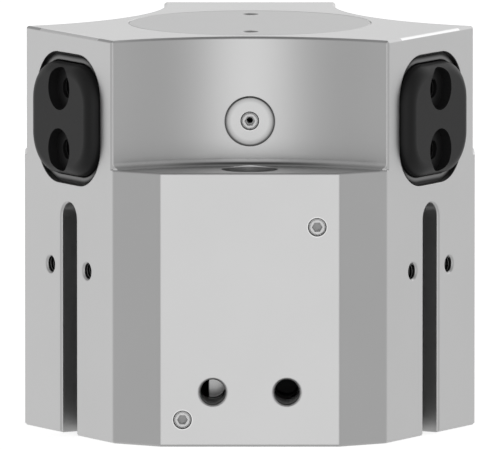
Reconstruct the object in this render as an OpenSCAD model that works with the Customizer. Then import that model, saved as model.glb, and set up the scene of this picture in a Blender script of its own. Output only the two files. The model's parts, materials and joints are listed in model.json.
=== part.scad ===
// Pneumatic three jaw centric gripper: three jaws slide outward together, driven by a
// piston and a wedge hook. Z is the working axis, and the base face lies at Z = 0.

/* [Housing] */
// Height of the housing
housing_h = 65.5; // [65:0.5:70]
// Height of the ledge that carries the mounting screws
ledge_z = 44.5; // [43:0.5:46]
// Distance from the axis to the end face of an arm
arm_reach = 34; // [33.5:0.1:35]
// Distance from the axis to a side face between two arms
side_reach = 34; // [33.5:0.1:35]
// Distance from the axis to a corner facet
facet_reach = 36.7; // [36.2:0.1:37.2]
// Radius of the concave walls above the ledge
wall_r = 39; // [38:0.5:44]
// Distance from the axis to the nearest point of a concave wall
wall_reach = 22.2; // [21.6:0.1:22.6]
// Fillet at the foot of a concave wall
foot_fillet = 1.1; // [0.8:0.1:1.4]
// Chamfer of the housing's outer edges
edge_break = 0.35; // [0.2:0.05:0.5]
// Chamfer of the ledge's outer edge
ledge_break = 0.2; // [0.1:0.05:0.3]
// Radius of the upright corners below the ledge
corner_r = 0.8; // [0.4:0.1:1.5]

/* [Mounting] */
// Pitch circle of the mounting screws
mount_pcd = 55; // [54.6:0.2:56]
// Through holes for the mounting screws
mount_hole_d = 5.5; // [5.2:0.1:5.8]
// Screw head counterbores in the ledge
head_bore_d = 9.2; // [9:0.1:9.4]
// Depth of the screw head counterbores
head_bore_depth = 5.4; // [4:0.2:7]
// Centring counterbores in the base face
centring_d = 9; // [8.5:0.1:9.5]
// Depth of the centring counterbores
centring_depth = 2.1; // [1.5:0.1:2.6]

/* [Jaws] */
// Depth of the jaws' centreline below the top face
jaw_axis_depth = 13.9; // [13.6:0.05:14]
// Width of a jaw
jaw_w = 20; // [18:0.2:20.4]
// Height of a jaw
jaw_h = 18.2; // [17:0.2:18.8]
// Corner radius of a jaw seen from the front
jaw_corner_r = 6.5; // [5:0.1:8]
// Rounding of a jaw's front edges
jaw_edge_r = 2; // [1:0.1:2.4]
// Distance from the axis to a jaw's front face with the jaws in
jaw_reach = 35.8; // [35:0.1:37]
// Outward travel of each jaw
jaw_stroke = 4; // [3:0.25:4.5]
// Clearance between a jaw and its guide on each side
jaw_clearance = 0.05; // [0.03:0.01:0.08]
// Distance between the two finger holes
finger_pitch = 10; // [9:0.5:11]
// Centring bore of a finger hole
finger_bore_d = 7; // [6:0.5:8]
// Depth of the centring bore
finger_bore_depth = 1.7; // [1.4:0.1:2]
// Core diameter of the finger thread
finger_thread_d = 3.3; // [2.5:0.1:4.2]
// Depth of the finger thread below the centring bore
finger_thread_depth = 8; // [6:0.5:9]

/* [Jaw seals] */
// Pocket beyond the side of a jaw
pocket_side = 0.4; // [0.35:0.05:0.6]
// Pocket beyond the top and the bottom of a jaw
pocket_end = 1.6; // [1.5:0.05:1.8]
// Corner radius of the pocket
pocket_corner_r = 7; // [6:0.1:8]
// Depth of the pocket
pocket_depth = 3.2; // [2.8:0.1:4]
// Depth of the frame's front below the end face
frame_recess = 0.55; // [0.3:0.05:0.8]
// Thickness of the frame
frame_t = 1.4; // [1:0.1:1.6]
// Outer edge of the frame beyond the side of a jaw
frame_side = 0.3; // [0.28:0.01:0.33]
// Outer edge of the frame beyond the top and the bottom of a jaw
frame_end = 1.1; // [0.9:0.05:1.2]
// Gap between the frame and the side of a jaw
frame_side_gap = 0.12; // [0.1:0.01:0.15]
// Gap between the frame and the top or the bottom of a jaw
frame_end_gap = 0.25; // [0.15:0.05:0.35]
// Depth of the rubber's front below the end face
seal_recess = 1; // [0.8:0.05:1.4]
// Clearance of the rubber in its pocket
seal_gap = 0.05; // [0.03:0.01:0.08]

/* [Top cover] */
// Diameter of the top cover
cover_d = 39.6; // [38:0.2:40]
// Thickness of the top cover
cover_t = 3; // [2.8:0.1:3.2]
// Clearance round the top cover
cover_clearance = 0.05; // [0.02:0.01:0.1]
// Opening under the cover
opening_d = 36; // [35:0.2:36.4]
// Depth of the opening below the top of the jaws
opening_sink = 1; // [0.6:0.1:1.4]
// Chamfer of the cover's rim
cover_break = 0.15; // [0.1:0.05:0.3]
// Distance of the two cover holes from the axis
cover_hole_reach = 14; // [12:0.5:15]
// Diameter of the cover holes
cover_hole_d = 2.5; // [2:0.1:3]
// Depth of the cover holes
cover_hole_depth = 2.2; // [1.5:0.1:2.4]
// Chamfer of the cover holes
cover_hole_break = 0.2; // [0.1:0.05:0.3]
// Cord of the cover's seal ring
cover_ring_cord = 1; // [0.8:0.1:1.1]

/* [Sensor slots] */
// Width of a sensor slot
slot_w = 5; // [4.6:0.1:5.4]
// Depth of a sensor slot
slot_depth = 6; // [5:0.2:6.6]
// Height of a slot's round upper end
slot_top = 37.8; // [34:0.2:39]
// Chamfer along the mouth of a slot
slot_break = 0.3; // [0.2:0.05:0.4]
// Distance of the bracket holes from the middle of a slot
bracket_offset = 6; // [5:0.5:8]
// Height of the bracket holes
bracket_z = 27.25; // [20:0.25:33]
// Core diameter of the bracket holes
bracket_d = 2.5; // [2:0.1:3]
// Depth of the bracket holes
bracket_depth = 5; // [4:0.5:6]
// Chamfer at the mouth of a bracket hole
bracket_break = 0.3; // [0.2:0.05:0.4]

/* [Air] */
// Distance of the two ports from the middle of the port side
port_offset = 6; // [5.8:0.1:6.2]
// Height of the ports
port_z = 8.9; // [8:0.1:10]
// Core diameter of the ports
port_d = 4.2; // [4:0.1:4.5]
// Depth of the port that feeds the lower chamber
port_depth = 10.3; // [9.8:0.1:11]
// Depth of the port that feeds the upper chamber
far_port_depth = 16; // [15:0.5:17]
// Width of the chamfer at a port's mouth
port_break = 0.28; // [0.1:0.02:0.4]
// Diameter of the upright ducts
duct_d = 3.8; // [3.6:0.1:4]
// Distance of the upright ducts from the middle of the port side
duct_offset = 8.6; // [8.5:0.05:8.8]
// Depth of the upright ducts' axes behind the port side
duct_inset = 10.3; // [9.8:0.1:10.8]
// Diameter of the cross drillings
cross_d = 2.2; // [2:0.1:2.4]
// Distance of the cross drillings from the middle of the port side
cross_offset = 10.9; // [10.7:0.05:11]
// Height of the lower cross drilling
cross_low_z = 4.4; // [4.3:0.05:4.8]
// Height of the upper cross drilling
cross_high_z = 35.75; // [35.5:0.05:36]

/* [Set screws] */
// Diameter of the holes for the set screws
set_hole_d = 3; // [2.9:0.1:3.2]
// Gap round a set screw
set_gap = 0.12; // [0.08:0.01:0.2]
// Length of the set screws in the cross drillings
cross_set_len = 4; // [3:0.5:4]
// Length of the duct plugs in the base face
base_plug_len = 3.5; // [3:0.5:4]
// Width across flats of the duct plugs' sockets
base_plug_af = 2; // [1.5:0.1:2.2]
// Chamfer round the socket end of a screw or plug
screw_break = 0.25; // [0.15:0.05:0.3]
// Width across flats of the set screws' sockets
socket_af = 1.5; // [1.3:0.1:1.6]
// Depth of the hexagon sockets
socket_depth = 1.4; // [1:0.1:1.6]
// Depth of the screws and plugs below the face they sit in
set_inset = 0.1; // [0.05:0.05:0.4]

/* [Wall nozzles] */
// Spotface in the middle of a concave wall
spot_d = 8.1; // [7:0.1:9]
// Depth of the spotface below the wall's nearest point
spot_depth = 0.5; // [0.3:0.05:0.8]
// Corner radius of the spotface
spot_r = 0.4; // [0.2:0.05:0.6]
// Height of the spotface's centre
spot_z = 51.7; // [50.5:0.1:54]
// Length of a nozzle screw
nozzle_len = 4; // [3:0.5:5]
// Orifice of a nozzle screw
nozzle_d = 1; // [0.7:0.1:1.2]
// Passage between a nozzle screw and the jaws' space
passage_d = 1.5; // [1.2:0.1:2]

/* [Drive] */
// Piston bore
bore_d = 32; // [31:0.2:32.4]
// Radial clearance of the piston in its bore
piston_clearance = 0.1; // [0.06:0.01:0.2]
// Height of the lower stop
lower_stop_z = 7; // [6.6:0.1:7.6]
// Outward travel of a jaw for each millimetre of piston travel
wedge_slope = 0.5; // [0.45:0.01:0.6]
// Gap that keeps the piston off its stops
stop_gap = 0.1; // [0.05:0.05:0.2]
// Thickness of the rubber bumpers
bumper_t = 1; // [0.6:0.1:1.4]
// Diameter of the stop bosses and of the bumpers
boss_d = 22; // [20:0.5:23]
// Height of the air space round the stop bosses
air_space = 3; // [2.6:0.1:3.2]
// Height of the boss, the bush and the seal between the two chambers
gland_h = 6.6; // [6.4:0.1:7]
// Diameter of the piston rod
rod_d = 10; // [9:0.5:10.5]
// Radial clearance of the rod in its bush
rod_clearance = 0.05; // [0.03:0.01:0.08]
// Outer diameter of the rod bush
bush_d = 13; // [12.5:0.1:14]
// Length of the rod bush
bush_len = 4; // [3.5:0.1:4.1]
// Outer diameter of the rod seal
rod_seal_d = 14; // [13:0.1:15]
// Height of the rod seal
rod_seal_h = 1.9; // [1.5:0.1:2]
// Gap round the rod where it passes the gland and the upper bumper
gland_play = 0.5; // [0.3:0.1:0.8]
// Lower part of the rod inside the piston
spigot_d = 6; // [5:0.2:6.4]
// Height of the lower piston half
lower_half_h = 5.4; // [5.2:0.1:6]
// Height of a piston seal
piston_seal_h = 2; // [1.8:0.1:2.2]
// Radial depth of the seal grooves in the piston
groove_depth = 2.6; // [2:0.1:3]
// Distance of a piston seal from the piston's end
seal_margin = 1; // [0.8:0.1:1.2]
// Chamfer of a piston seal's outer edges
seal_lip = 0.5; // [0.3:0.1:0.6]
// Radial clearance of the seals and the wear ring in the bore
seal_clearance = 0.05; // [0.03:0.01:0.08]
// Height of the magnet ring
magnet_h = 2.5; // [2:0.1:2.7]
// Radial width of the magnet ring
magnet_w = 3.6; // [3:0.1:4]
// Depth of the magnet ring below the piston's side
magnet_inset = 0.1; // [0.05:0.05:0.2]
// Height of the wear ring
wear_h = 1; // [0.8:0.1:1.1]
// Radial depth of the wear ring's groove
wear_depth = 1.2; // [1:0.1:1.4]
// Land between the lower seal and the wear ring
piston_land = 0.5; // [0.4:0.1:0.6]
// Width across flats of the piston nut
nut_af = 10; // [9:0.5:10]
// Height of the piston nut
nut_h = 3.2; // [3:0.1:3.5]
// Depth of the nut's face below the piston's lower end
nut_sink = 0.1; // [0.05:0.05:0.3]
// Recess for the piston nut
nut_recess_d = 12.5; // [12.2:0.1:13]

/* [Wedge hook] */
// Radius of the bore that the wedge hook works in
core_bore_r = 12; // [11.8:0.1:12.4]
// Distance from the axis to the wedge's slanting faces at its top
wedge_top_reach = 5; // [4.6:0.1:5.2]
// Gap under the wedge with the jaws in
wedge_gap = 0.5; // [0.3:0.1:0.8]
// Gap between the raised wedge and the cover
wedge_lift_gap = 1.2; // [0.8:0.1:1.4]
// Gap between the wedge and its bore
core_clearance = 0.5; // [0.3:0.1:0.8]
// Gap between a slanting face and its jaw
face_gap = 0.3; // [0.2:0.05:0.4]
// Width of a hook's neck
neck_w = 5; // [4:0.2:5.4]
// Length of a hook's neck across the slant
neck_len = 2.6; // [2.2:0.1:2.8]
// Width of a hook's head
head_w = 9; // [8:0.2:9.4]
// Thickness of a hook's head across the slant
head_t = 2.6; // [2.2:0.1:2.6]
// Clearance of a hook in its jaw
hook_clearance = 0.08; // [0.05:0.01:0.12]
// Gap between the inner ends of neighbouring jaws
jaw_gap = 0.8; // [0.5:0.1:1.2]
// Shank diameter of the wedge screw
wedge_screw_d = 4; // [3.5:0.1:4.4]
// Head diameter of the wedge screw
wedge_screw_head_d = 7; // [6.6:0.1:7.2]
// Head height of the wedge screw
wedge_screw_head_h = 4; // [3:0.2:4.2]
// Length of the wedge screw's shank
wedge_screw_len = 11; // [9:0.5:13]
// Width across flats of the wedge screw's socket
wedge_screw_af = 3; // [2.5:0.5:3]
// Depth of the wedge screw's head below the wedge's top
wedge_screw_sink = 0.1; // [0.05:0.05:0.3]
// Radial clearance round the wedge screw's head
wedge_screw_gap = 0.1; // [0.05:0.05:0.2]
// Rod end inside the wedge
rod_end_d = 6; // [5:0.2:6.4]
// Length of the rod end inside the wedge
rod_end_len = 5; // [4:0.2:5.4]

/* [Base cap] */
// Seat of the base cap in the base face
cap_seat_d = 40; // [39.6:0.1:40.4]
// Depth of the base cap's seat
cap_seat_depth = 3; // [2.9:0.05:3.1]
// Diameter of the cap inside the spring ring
cap_face_d = 35; // [34:0.2:35.4]
// Height of the spring ring's lower side
ring_z = 0.4; // [0.3:0.05:0.5]
// Thickness of the spring ring
ring_t = 1; // [0.8:0.05:1.1]
// Depth of the spring ring's groove beyond the seat
ring_groove = 0.8; // [0.6:0.1:1]
// Play of the spring ring in its groove
ring_play = 0.1; // [0.05:0.05:0.15]
// Radial width of the spring ring
ring_w = 2.6; // [2.2:0.1:2.8]
// Radius of the spring ring's ends
lug_r = 1.7; // [1.5:0.1:1.8]
// Opening of the spring ring
ring_opening = 7; // [5:0.5:9]
// Cord of the cap's seal ring
cap_ring_cord = 0.8; // [0.7:0.05:0.9]

/* [Hidden] */
$fn = 96;

// The first arm points to +Y, and the port side faces -Y
arm_angles = [90, 210, 330];
side_angles = [270, 30, 150];
facet_angles = [0, 60, 120, 180, 240, 300];
facet_turn = 30;
over = 1;
cutter_reach = 60;
cutter_w = 12;
slip = 0.02;

function is_arm(a) = (a - arm_angles[0]) % 120 == 0;
function face_reach(a) = is_arm(a) ? arm_reach : side_reach;
// half width of a face, where it meets a facet that is turned away by facet_turn
function half_width(near, next) = (next - near * cos(facet_turn)) / sin(facet_turn);
face_angles = [30, 90, 150, 210, 270, 330];

// half width of an arm's end face above the ledge, where the concave wall meets it
wall_centre = wall_reach + wall_r;
upper_half = wall_centre * sin(60) - sqrt(pow(wall_r, 2) - pow(arm_reach - wall_centre * cos(60), 2));

jaw_z = housing_h - jaw_axis_depth;
guide_w = jaw_w + 2 * jaw_clearance;
guide_h = jaw_h + 2 * jaw_clearance;
guide_corner_r = jaw_corner_r + jaw_clearance;
pocket_w = jaw_w + 2 * pocket_side;
pocket_h = jaw_h + 2 * pocket_end;
frame_w = jaw_w + 2 * frame_side;
frame_h = jaw_h + 2 * frame_end;
floor_z = jaw_z - pocket_h / 2;
cover_z = housing_h - cover_t;
opening_z = jaw_z + jaw_h / 2 - opening_sink;
cover_seat_r = cover_d / 2 + cover_clearance;

piston_stroke = jaw_stroke / wedge_slope;
gland_z = floor_z - gland_h;
upper_stop_z = gland_z - bumper_t;
roof_z = gland_z + air_space;
bush_z = floor_z - bush_len;
piston_z = lower_stop_z + stop_gap;
piston_h = upper_stop_z - lower_stop_z - piston_stroke - 2 * stop_gap;
piston_top_z = piston_z + piston_h;
split_z = piston_z + lower_half_h;
piston_r = bore_d / 2 - piston_clearance;
groove_r = piston_r - groove_depth;
upper_seal_z = piston_top_z - seal_margin - piston_seal_h;
lower_seal_z = piston_z + seal_margin;
wear_z = lower_seal_z + piston_seal_h + piston_land;
nut_z = piston_z + nut_sink;

wedge_z = floor_z + wedge_gap;
wedge_h = cover_z - wedge_lift_gap - piston_stroke - wedge_z;
wedge_top_z = wedge_z + wedge_h;
wedge_head_z = wedge_top_z - wedge_screw_head_h - wedge_screw_sink;
core_r = core_bore_r - core_clearance;
hook_z = jaw_z - guide_h / 2 + wedge_gap;
slant = atan(wedge_slope);

cap_rim_z = ring_z + ring_t + ring_play;
cap_groove_r = (bore_d + cap_seat_d) / 4;
set_r = set_hole_d / 2 - set_gap;
cross_end = sqrt(pow(bore_d / 2, 2) - pow(cross_offset, 2)) - over;

// Prism along +X between two reaches; its outline stands upright round the jaws' centreline
module along_arm(x0, x1) {
    translate([x0, 0, jaw_z]) rotate([90, 0, 90]) linear_extrude(x1 - x0) children();
}

// Round bar along +X between two reaches
module pin_x(x0, x1, r) {
    translate([x0, 0, 0]) rotate([0, 90, 0]) cylinder(r = r, h = x1 - x0);
}

// Cone along +X
module cone_x(x0, x1, r0, r1) {
    translate([x0, 0, 0]) rotate([0, 90, 0]) cylinder(r1 = r0, r2 = r1, h = x1 - x0);
}

// Hexagon socket along -X, sunk from reach x1
module socket_x(x1, af, depth) {
    translate([x1 - depth, 0, 0]) rotate([0, 90, 0]) rotate([0, 0, 30])
        cylinder(r = af / sqrt(3), h = depth + over, $fn = 6);
}

module rounded_rect(w, h, r) {
    square([w - 2 * r, h], center = true);
    square([w, h - 2 * r], center = true);
    for (sx = [-1, 1], sy = [-1, 1])
        translate([sx * (w / 2 - r), sy * (h / 2 - r)]) circle(r);
}

module jaw_outline(grow) {
    rounded_rect(jaw_w + 2 * grow, jaw_h + 2 * grow, jaw_corner_r + grow);
}

module ring(r0, r1, z, h) {
    translate([0, 0, z]) difference() {
        cylinder(r = r1, h = h);
        translate([0, 0, -over]) cylinder(r = r0, h = h + 2 * over);
    }
}

module torus(r, cord, z) {
    translate([0, 0, z]) rotate_extrude() translate([r, 0]) circle(d = cord);
}

// Cutter for a 45 degree chamfer on an edge that runs along Y; dir is 1 for an upper edge
module edge_cutter(reach, z, size, half_len, dir, block) {
    translate([reach - size / 2, -half_len, z - dir * size / 2]) rotate([0, -45 * dir, 0])
        translate([0, 0, -block / 2]) cube([block, 2 * half_len, block]);
}

// Set screw along +X with its socket at reach x1
module set_screw_x(x1, len, r, af) {
    difference() {
        union() {
            pin_x(x1 - len, x1 - screw_break, r);
            cone_x(x1 - screw_break, x1, r, r - screw_break);
        }
        socket_x(x1, af, socket_depth);
    }
}

// ---- Housing ----

// Cutter that rounds a corner of the outline, with its corner at the origin and +X outward
module corner_cutter() {
    translate([-corner_r / cos(facet_turn / 2), 0]) difference() {
        translate([corner_r * cos(facet_turn / 2), -corner_r]) square([corner_r, 2 * corner_r]);
        circle(corner_r);
    }
}

// Everything on the inner side of a face
module inner_side(reach) {
    translate([-cutter_reach, -cutter_reach]) square([cutter_reach + reach, 2 * cutter_reach]);
}

module housing_outline() {
    difference() {
        intersection() {
            intersection_for (a = face_angles) rotate(a) inner_side(face_reach(a));
            intersection_for (a = facet_angles) rotate(a) inner_side(facet_reach);
        }
        for (a = face_angles, s = [-1, 1])
            rotate(a) translate([face_reach(a), s * half_width(face_reach(a), facet_reach)])
                rotate(s * facet_turn / 2) corner_cutter();
    }
}

// Concave wall above the ledge, with a fillet at its foot and a chamfer at its top
module wall_cutter() {
    top_z = housing_h - edge_break;
    translate([wall_centre, 0, 0]) rotate_extrude($fn = 180) {
        translate([0, ledge_z]) square([wall_r - foot_fillet, housing_h - ledge_z]);
        translate([0, ledge_z + foot_fillet]) square([wall_r, housing_h - ledge_z]);
        translate([wall_r - foot_fillet, ledge_z + foot_fillet]) circle(foot_fillet);
        polygon([[0, top_z], [wall_r, top_z], [wall_r + edge_break + over, housing_h + over],
            [0, housing_h + over]]);
    }
}

module outer_edges() {
    for (a = face_angles)
        rotate([0, 0, a]) edge_cutter(face_reach(a), 0, edge_break, arm_reach / 2, -1, cutter_w);
    for (a = facet_angles)
        rotate([0, 0, a]) edge_cutter(facet_reach, 0, edge_break, arm_reach / 2, -1, cutter_w);
    for (a = arm_angles)
        rotate([0, 0, a]) {
            edge_cutter(arm_reach, housing_h, edge_break, arm_reach / 2, 1, cutter_w);
            for (s = [-1, 1])
                translate([arm_reach - edge_break / 2, s * (upper_half - edge_break / 2), ledge_z])
                    rotate([0, 0, s * 45]) translate([0, -over, 0])
                        cube([2 * over, 2 * over, housing_h]);
        }
    for (a = side_angles)
        rotate([0, 0, a])
            edge_cutter(side_reach, ledge_z, ledge_break, half_width(side_reach, facet_reach), 1, over);
    for (a = facet_angles)
        rotate([0, 0, a])
            edge_cutter(facet_reach, ledge_z, ledge_break, half_width(facet_reach, arm_reach), 1, over);
}

module sensor_slot() {
    r = slot_w / 2;
    end_z = slot_top - r;
    inner = arm_reach - slot_depth;
    translate([inner, -r, -over]) cube([slot_depth + over, slot_w, end_z + over]);
    translate([0, 0, end_z]) pin_x(inner, arm_reach + over, r);
    translate([0, 0, -over]) linear_extrude(end_z + over)
        polygon([[arm_reach - slot_break, -r], [arm_reach + over, -r - slot_break - over],
            [arm_reach + over, r + slot_break + over], [arm_reach - slot_break, r]]);
    translate([0, 0, end_z])
        cone_x(arm_reach - slot_break, arm_reach + over, r, r + slot_break + over);
}

module arm_cuts() {
    along_arm(0, arm_reach + over) rounded_rect(guide_w, guide_h, guide_corner_r);
    along_arm(arm_reach - pocket_depth, arm_reach + over)
        rounded_rect(pocket_w, pocket_h, pocket_corner_r);
    sensor_slot();
    for (s = [-1, 1]) translate([0, s * bracket_offset, bracket_z]) {
        r = bracket_d / 2;
        pin_x(arm_reach - bracket_depth, arm_reach + over, r);
        cone_x(arm_reach - bracket_break, arm_reach + over, r, r + bracket_break + over);
    }
}

// Flat spotface with a rounded corner, the nozzle's hole and its passage to the core
module nozzle_cuts() {
    seat = wall_reach - spot_depth;
    r = spot_d / 2;
    translate([seat, 0, spot_z]) rotate([0, 90, 0]) rotate_extrude() {
        square([r - spot_r, spot_depth + over]);
        translate([0, spot_r]) square([r, spot_depth + over]);
        translate([r - spot_r, spot_r]) circle(spot_r, $fn = 48);
    }
    translate([0, 0, spot_z]) {
        pin_x(seat - nozzle_len, seat + over, set_hole_d / 2);
        pin_x(core_bore_r - over, seat, passage_d / 2);
    }
}

module mount_cuts() {
    translate([mount_pcd / 2, 0, 0]) {
        translate([0, 0, -over]) cylinder(d = mount_hole_d, h = ledge_z + 2 * over);
        translate([0, 0, ledge_z - head_bore_depth])
            cylinder(d = head_bore_d, h = head_bore_depth + foot_fillet + over);
        translate([0, 0, -over]) cylinder(d = centring_d, h = centring_depth + over);
    }
}

// Two ports, an upright duct behind each, and a cross drilling into each end of the bore
module air_cuts() {
    for (s = [-1, 1]) {
        depth = s < 0 ? port_depth : far_port_depth;
        cross_z = s < 0 ? cross_low_z : cross_high_z;
        duct_top = max(port_z + port_d / 2, cross_z + cross_d / 2);
        translate([0, s * port_offset, port_z]) {
            pin_x(side_reach - depth, side_reach + over, port_d / 2);
            cone_x(side_reach - port_break, side_reach + over, port_d / 2, port_d / 2 + port_break + over);
        }
        translate([side_reach - duct_inset, s * duct_offset, -over])
            cylinder(d = duct_d, h = duct_top + over);
        translate([0, s * cross_offset, cross_z]) {
            pin_x(cross_end, side_reach + over, cross_d / 2);
            pin_x(side_reach - cross_set_len - set_inset, side_reach + over, set_hole_d / 2);
        }
    }
}

// Everything turned about the axis: cover seat, hook space, gland, bore and cap seat
module axis_cuts() {
    translate([0, 0, cover_z]) cylinder(r = cover_seat_r, h = cover_t + over);
    translate([0, 0, opening_z]) cylinder(d = opening_d, h = cover_z - opening_z + over);
    translate([0, 0, floor_z]) cylinder(r = core_bore_r, h = cover_z - floor_z);
    translate([0, 0, bush_z]) cylinder(d = bush_d, h = bush_len + over);
    translate([0, 0, gland_z - over]) cylinder(r = rod_d / 2 + gland_play, h = gland_h + 2 * over);
    translate([0, 0, gland_z - over]) cylinder(d = rod_seal_d, h = rod_seal_h + over);
    ring(boss_d / 2, bore_d / 2, gland_z - over, air_space + over);
    translate([0, 0, -over]) cylinder(d = bore_d, h = gland_z + over);
    translate([0, 0, -over]) cylinder(d = cap_seat_d, h = cap_seat_depth + over);
    translate([0, 0, ring_z])
        cylinder(r = cap_seat_d / 2 + ring_groove, h = ring_t + ring_play);
}

module housing() {
    color("silver") difference() {
        linear_extrude(housing_h) housing_outline();
        outer_edges();
        for (a = side_angles) rotate([0, 0, a]) {
            wall_cutter();
            nozzle_cuts();
            mount_cuts();
        }
        for (a = arm_angles) rotate([0, 0, a]) arm_cuts();
        rotate([0, 0, side_angles[0]]) air_cuts();
        axis_cuts();
    }
}

// ---- Covers, seals and screws of the housing ----

module top_cover() {
    r = cover_d / 2;
    groove_z = cover_z + cover_t / 2 - cover_ring_cord / 2;
    groove_depth = cover_ring_cord - cover_clearance;
    color("darkgray") difference() {
        translate([0, 0, cover_z]) rotate_extrude()
            polygon([[0, 0], [r, 0], [r, cover_t - cover_break], [r - cover_break, cover_t],
                [0, cover_t]]);
        ring(r - groove_depth, r + over, groove_z, cover_ring_cord);
        for (s = [-1, 1]) translate([0, s * cover_hole_reach, housing_h]) {
            translate([0, 0, -cover_hole_depth]) cylinder(d = cover_hole_d, h = cover_hole_depth + over);
            translate([0, 0, -cover_hole_break])
                cylinder(r1 = cover_hole_d / 2, r2 = cover_hole_d / 2 + cover_hole_break + over,
                    h = cover_hole_break + over);
        }
    }
}

module cover_seal_ring() {
    color("black") torus(cover_seat_r - cover_ring_cord / 2, cover_ring_cord, cover_z + cover_t / 2);
}

module base_cap() {
    color("silver") difference() {
        union() {
            cylinder(d = cap_face_d, h = cap_rim_z);
            translate([0, 0, cap_rim_z])
                cylinder(d = cap_seat_d - 2 * slip, h = cap_seat_depth - cap_rim_z);
            translate([0, 0, cap_rim_z]) cylinder(d = boss_d, h = lower_stop_z - bumper_t - cap_rim_z);
        }
        ring(cap_groove_r - cap_ring_cord / 2, cap_groove_r + cap_ring_cord / 2,
            cap_seat_depth - cap_ring_cord, cap_ring_cord + over);
    }
}

module base_cap_seal_ring() {
    color("black") torus(cap_groove_r, cap_ring_cord, cap_seat_depth - cap_ring_cord / 2);
}

// Open spring ring with a pair of plier holes at its ends
module base_spring_ring() {
    outer = cap_seat_d / 2 + ring_groove - ring_play;
    color("dimgray") difference() {
        union() {
            ring(outer - ring_w, outer, ring_z, ring_t);
            for (s = [-1, 1])
                translate([outer - lug_r - ring_groove, s * (ring_opening / 2 + lug_r), ring_z])
                    cylinder(r = lug_r, h = ring_t);
        }
        translate([0, -ring_opening / 2, 0]) cube([cap_seat_d, ring_opening, cap_seat_depth]);
        for (s = [-1, 1])
            translate([outer - lug_r - ring_groove, s * (ring_opening / 2 + lug_r), 0])
                cylinder(r = lug_r / 2, h = cap_seat_depth);
        translate([0, 0, -over]) cylinder(d = cap_face_d + slip, h = cap_seat_depth);
    }
}

module rod_bush() {
    color("peru") ring(rod_d / 2 + rod_clearance, bush_d / 2, bush_z, bush_len);
}

module rod_seal() {
    color("black") ring(rod_d / 2 + rod_clearance, rod_seal_d / 2, gland_z, rod_seal_h);
}

module upper_bumper() {
    color("black") ring(rod_d / 2 + gland_play, boss_d / 2, upper_stop_z, bumper_t);
}

module lower_bumper() {
    color("black") ring(nut_recess_d / 2, boss_d / 2, lower_stop_z - bumper_t, bumper_t);
}

// Rubber wiper: it fills the pocket behind the frame and holds the frame's rim
module jaw_seal(a) {
    back = arm_reach - pocket_depth;
    color("black") rotate([0, 0, a]) difference() {
        along_arm(back + seal_gap, arm_reach - seal_recess)
            rounded_rect(pocket_w - 2 * seal_gap, pocket_h - 2 * seal_gap, pocket_corner_r - seal_gap);
        along_arm(arm_reach - frame_recess - frame_t, arm_reach)
            rounded_rect(frame_w, frame_h, pocket_corner_r - pocket_side + frame_side);
        along_arm(back - over, arm_reach) jaw_outline(jaw_clearance);
    }
}

module seal_frame(a) {
    color("gray") rotate([0, 0, a])
        along_arm(arm_reach - frame_recess - frame_t, arm_reach - frame_recess) difference() {
            rounded_rect(frame_w, frame_h, pocket_corner_r - pocket_side + frame_side);
            rounded_rect(jaw_w + 2 * frame_side_gap, jaw_h + 2 * frame_end_gap,
                jaw_corner_r + frame_side_gap);
        }
}

module duct_plug_screws() {
    color("gray") rotate([0, 0, side_angles[0]]) for (s = [-1, 1])
        translate([0, s * cross_offset, s < 0 ? cross_low_z : cross_high_z])
            set_screw_x(side_reach - set_inset, cross_set_len, set_r, socket_af);
}

module base_duct_plugs() {
    color("gray") rotate([0, 0, side_angles[0]]) for (s = [-1, 1])
        translate([side_reach - duct_inset, s * duct_offset, 0]) rotate([0, 90, 0])
            set_screw_x(-set_inset, base_plug_len, duct_d / 2 - set_gap, base_plug_af);
}

module wall_nozzle_screws() {
    seat = wall_reach - spot_depth;
    color("lightgray") for (a = side_angles) rotate([0, 0, a]) translate([0, 0, spot_z])
        difference() {
            set_screw_x(seat, nozzle_len, set_r, socket_af);
            pin_x(seat - nozzle_len - over, seat + over, nozzle_d / 2);
        }
}

// ---- Piston ----

module piston_groove(z, h, depth) {
    ring(piston_r - depth, piston_r + over, z, h);
}

module piston_lower_half() {
    color("gainsboro") difference() {
        translate([0, 0, piston_z]) cylinder(r = piston_r, h = lower_half_h);
        piston_groove(lower_seal_z, piston_seal_h, groove_depth);
        piston_groove(wear_z, wear_h, wear_depth);
        translate([0, 0, piston_z - over]) cylinder(d = nut_recess_d, h = nut_z + nut_h - piston_z + over);
        translate([0, 0, piston_z]) cylinder(d = spigot_d, h = lower_half_h + over);
    }
}

module piston_upper_half() {
    color("gainsboro") difference() {
        translate([0, 0, split_z]) cylinder(r = piston_r, h = piston_top_z - split_z);
        piston_groove(split_z - over, magnet_h + over, magnet_w);
        piston_groove(upper_seal_z, piston_seal_h, groove_depth);
        translate([0, 0, split_z - over]) cylinder(d = spigot_d, h = piston_h);
    }
}

// Two lip seals whose outer edges are chamfered
module piston_seals() {
    outer = bore_d / 2 - seal_clearance;
    color("black") for (z = [lower_seal_z, upper_seal_z]) translate([0, 0, z]) rotate_extrude()
        polygon([[groove_r, 0], [outer - seal_lip, 0], [outer, seal_lip],
            [outer, piston_seal_h - seal_lip], [outer - seal_lip, piston_seal_h],
            [groove_r, piston_seal_h]]);
}

module magnet_ring() {
    color("darkslategray") ring(piston_r - magnet_w, piston_r - magnet_inset, split_z, magnet_h);
}

module wear_ring() {
    color("darkgreen") ring(piston_r - wear_depth, bore_d / 2 - seal_clearance, wear_z, wear_h);
}

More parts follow.
